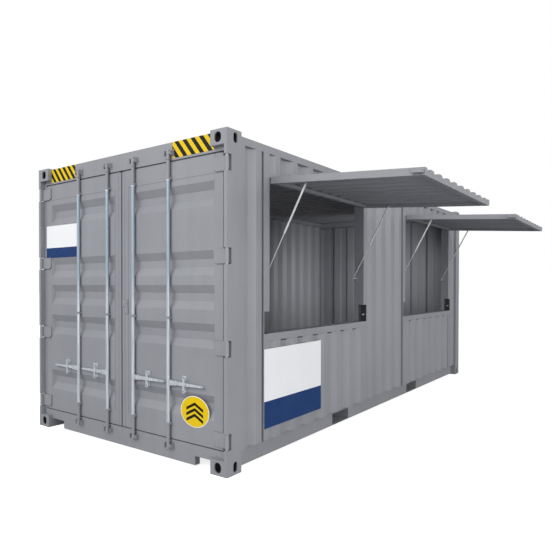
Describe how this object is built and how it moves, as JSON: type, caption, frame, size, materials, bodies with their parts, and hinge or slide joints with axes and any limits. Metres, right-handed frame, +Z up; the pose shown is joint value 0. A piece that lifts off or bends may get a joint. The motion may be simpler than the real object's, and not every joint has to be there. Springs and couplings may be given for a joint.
{
  "type": "portable site cabin",
  "caption": "Steel box cabin with lockable cargo doors at one end and top-hinged serving hatches on gas struts along one side.",
  "frame": {"origin": "middle of the base, level with the undersides of the four bottom corner castings", "axes": "+X along the length from the cargo doors to the blind end, -Y the serving side, +Z up"},
  "size_m": [6.058, 3.6838, 2.591],
  "materials": {
    "body_paint": "satin grey enamel",
    "floor_plywood": "sealed plywood",
    "zinc_steel": "zinc plated",
    "seal_rubber": "matte",
    "strut_grey": "smooth",
    "rod_chrome": "polished",
    "sign_plate": "gloss"
  },
  "bodies": {
    "cabin": {"bottom_corner_castings": "body_paint", "top_corner_castings": "body_paint", "bottom_side_rails": "body_paint", "fork_pockets": "body_paint", "floor_cross_members": "body_paint", "door_corner_posts": "body_paint", "door_sill": "body_paint", "door_header": "body_paint", "blind_end_posts": "body_paint", "blind_end_sill": "body_paint", "blind_end_header": "body_paint", "blind_end_wall": "body_paint", "top_side_rails": "body_paint", "roof_panel": "body_paint", "plain_side_wall": "body_paint", "serving_wall_piers": "body_paint", "serving_wall_aprons": "body_paint", "serving_wall_heads": "body_paint", "opening_1_frame": "body_paint", "opening_2_frame": "body_paint", "floor_board": "floor_plywood", "door_hinge_pins": "zinc_steel", "cam_keepers": "body_paint"},
    "left_door": {"left_door_frame": "body_paint", "left_door_panel": "body_paint", "left_door_gasket": "seal_rubber", "left_door_hinge_blades": "body_paint", "left_door_lock_fittings": "body_paint"},
    "right_door": {"right_door_frame": "body_paint", "right_door_panel": "body_paint", "right_door_gasket": "seal_rubber", "right_door_hinge_blades": "body_paint", "right_door_lock_fittings": "body_paint"},
    "lock_bar_1": {"lock_bar_1": "zinc_steel"},
    "lock_bar_2": {"lock_bar_2": "zinc_steel"},
    "lock_bar_3": {"lock_bar_3": "zinc_steel"},
    "lock_bar_4": {"lock_bar_4": "zinc_steel"},
    "hatch_1": {"hatch_1_frame": "body_paint", "hatch_1_sheet": "body_paint"},
    "hatch_1_cylinders": {"hatch_1_strut_cylinders": "strut_grey"},
    "hatch_1_rods": {"hatch_1_strut_rods": "rod_chrome"},
    "hatch_2": {"hatch_2_frame": "body_paint", "hatch_2_sheet": "body_paint"},
    "hatch_2_cylinders": {"hatch_2_strut_cylinders": "strut_grey"},
    "hatch_2_rods": {"hatch_2_strut_rods": "rod_chrome"}
  },
  "joints": [
    {"name": "left_door_hinge", "type": "hinge", "parent": "cabin", "child": "left_door", "pos_m": [-3.015, 1.205, 0], "axis": [0, 0, -1], "range_deg": [0, 262]},
    {"name": "right_door_hinge", "type": "hinge", "parent": "cabin", "child": "right_door", "pos_m": [-3.015, -1.205, 0], "axis": [0, 0, 1], "range_deg": [0, 195]},
    {"name": "lock_bar_1_turn", "type": "hinge", "parent": "left_door", "child": "lock_bar_1", "pos_m": [-3.007, 0.594, 0], "axis": [0, 0, -1], "range_deg": [-100, 0]},
    {"name": "lock_bar_2_turn", "type": "hinge", "parent": "left_door", "child": "lock_bar_2", "pos_m": [-3.007, 0.172, 0], "axis": [0, 0, -1], "range_deg": [-100, 0]},
    {"name": "lock_bar_3_turn", "type": "hinge", "parent": "right_door", "child": "lock_bar_3", "pos_m": [-3.007, -0.172, 0], "axis": [0, 0, 1], "range_deg": [-100, 0]},
    {"name": "lock_bar_4_turn", "type": "hinge", "parent": "right_door", "child": "lock_bar_4", "pos_m": [-3.007, -0.594, 0], "axis": [0, 0, 1], "range_deg": [-100, 0]},
    {"name": "hatch_1_hinge", "type": "hinge", "parent": "cabin", "child": "hatch_1", "pos_m": [0, -1.207, 2.299], "axis": [1, 0, 0], "range_deg": [0, 86]},
    {"name": "hatch_1_strut_pivot", "type": "hinge", "parent": "hatch_1", "child": "hatch_1_cylinders", "pos_m": [0, -1.52427, 2.24875], "axis": [1, 0, 0], "range_deg": [-108.08, 0]},
    {"name": "hatch_1_strut_slide", "type": "slide", "parent": "hatch_1_cylinders", "child": "hatch_1_rods", "axis": [0, -0.4636, 0.8861], "range_m": [0, 0.36407]},
    {"name": "hatch_2_hinge", "type": "hinge", "parent": "cabin", "child": "hatch_2", "pos_m": [0, -1.207, 2.299], "axis": [1, 0, 0], "range_deg": [0, 86]},
    {"name": "hatch_2_strut_pivot", "type": "hinge", "parent": "hatch_2", "child": "hatch_2_cylinders", "pos_m": [0, -1.52427, 2.24875], "axis": [1, 0, 0], "range_deg": [-108.08, 0]},
    {"name": "hatch_2_strut_slide", "type": "slide", "parent": "hatch_2_cylinders", "child": "hatch_2_rods", "axis": [0, -0.4636, 0.8861], "range_m": [0, 0.36407]}
  ],
  "couplings": [
    {"joint": "hatch_1_strut_pivot", "follows": "hatch_1_hinge", "ratio": -1.2561},
    {"joint": "hatch_1_strut_slide", "follows": "hatch_1_hinge", "m_per_rad": 0.24242},
    {"joint": "hatch_2_strut_pivot", "follows": "hatch_2_hinge", "ratio": -1.2561},
    {"joint": "hatch_2_strut_slide", "follows": "hatch_2_hinge", "m_per_rad": 0.24242}
  ]
}
